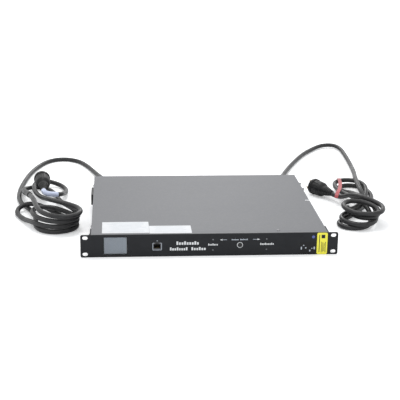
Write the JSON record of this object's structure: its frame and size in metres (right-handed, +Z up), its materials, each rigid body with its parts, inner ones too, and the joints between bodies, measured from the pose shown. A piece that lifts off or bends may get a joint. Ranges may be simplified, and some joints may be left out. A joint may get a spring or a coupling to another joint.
{
  "type": "rack static transfer switch",
  "caption": "Rack transfer switch: flat metal case with ears, front display and lamps, rear outlets, and coiled input cords with plugs.",
  "frame": {"origin": "centre of the switch's bounding box without its cords, on the surface that it stands on", "axes": "+X to the right of someone facing the front panel, +Y from the front panel to the rear, +Z up"},
  "size_m": [0.7999, 0.7941, 0.0577],
  "materials": {
    "case_metal": "satin zinc-plated sheet steel",
    "panel_paint": "matt dark grey powder coat",
    "bracket_steel": "zinc-plated steel",
    "screw_steel": "zinc-plated steel",
    "screw_black": "blackened steel",
    "spacer_brass": "turned brass, nickel plated",
    "clear_pane": "clear acrylic, slightly smoked",
    "display_glass": "grey liquid crystal display, unlit",
    "jack_shield": "nickel-plated shield",
    "button_plastic": "dark moulded plastic",
    "ring_plastic": "grey moulded ring",
    "switch_black": "black moulded plastic",
    "lamp_clear": "translucent light pipe",
    "lamp_blue": "translucent blue lens",
    "label_dark": "dark printed film",
    "label_yellow": "yellow printed film",
    "label_white": "white paper-faced film",
    "board_green": "solder resist on glass-fibre board",
    "sink_aluminium": "extruded aluminium",
    "module_black": "black potted moulding",
    "block_green": "green moulded plastic",
    "can_aluminium": "sleeved aluminium can",
    "outlet_black": "black moulded plastic",
    "reset_white": "white moulded plastic",
    "cord_black": "black rubber-like sheath",
    "plug_black": "black moulded plug body",
    "blade_brass": "nickel-plated brass blades",
    "tape_blue": "pale blue tape",
    "tape_red": "red tape",
    "lead_pvc": "insulated wire",
    "ribbon_grey": "grey flat cable"
  },
  "bodies": {
    "case": {"backfeed_relays": "module_black", "board_screws": "screw_steel", "board_spacers": "spacer_brass", "breakers": "outlet_black", "button_ring": "ring_plastic", "case_screws": "screw_steel", "chassis_tray": "case_metal", "coil_1": "cord_black", "coil_2": "cord_black", "control_board": "board_green", "cord_1": "cord_black", "cord_2": "cord_black", "cord_glands": "switch_black", "current_sensors": "module_black", "dark_label": "label_dark", "ear_screws": "screw_black", "earth_stud": "screw_steel", "filter_capacitors": "can_aluminium", "front_board": "board_green", "front_panel": "panel_paint", "front_spacers": "spacer_brass", "gland_locknuts": "switch_black", "heatsink": "sink_aluminium", "input_board_1": "board_green", "input_board_2": "board_green", "input_lamps": "lamp_clear", "input_leads": "lead_pvc", "lcd_module": "display_glass", "lcd_window": "clear_pane", "narrow_top_label": "label_white", "network_jack": "jack_shield", "outlet_large": "outlet_black", "outlet_strip_1": "outlet_black", "outlet_strip_2": "outlet_black", "output_leads": "lead_pvc", "panel_nuts": "screw_steel", "panel_switches": "switch_black", "plug_1": "plug_black", "plug_2": "plug_black", "plug_blades_1": "blade_brass", "plug_blades_2": "blade_brass", "rack_ear_left": "panel_paint", "rack_ear_right": "panel_paint", "ready_lamp": "lamp_blue", "rear_panel": "case_metal", "ribbon_cable": "ribbon_grey", "side_bracket_right": "bracket_steel", "side_guide_left": "switch_black", "side_screws": "screw_steel", "supply_transformers": "module_black", "tape_1": "tape_blue", "tape_2": "tape_red", "terminal_blocks": "block_green", "thyristor_modules": "module_black", "top_cover": "case_metal", "wide_top_label": "label_white", "yellow_label": "label_yellow"},
    "select_button": {"select_button": "button_plastic"},
    "reset_button_1": {"reset_button_1": "reset_white"},
    "reset_button_2": {"reset_button_2": "reset_white"}
  },
  "joints": [
    {"name": "select_press", "type": "slide", "parent": "case", "child": "select_button", "axis": [0, 1, 0], "range_m": [0, 0.001], "stiffness_N_per_m": 600},
    {"name": "reset_press_1", "type": "slide", "parent": "case", "child": "reset_button_1", "axis": [0, 1, 0], "range_m": [0, 0.004]},
    {"name": "reset_press_2", "type": "slide", "parent": "case", "child": "reset_button_2", "axis": [0, 1, 0], "range_m": [0, 0.004]}
  ]
}
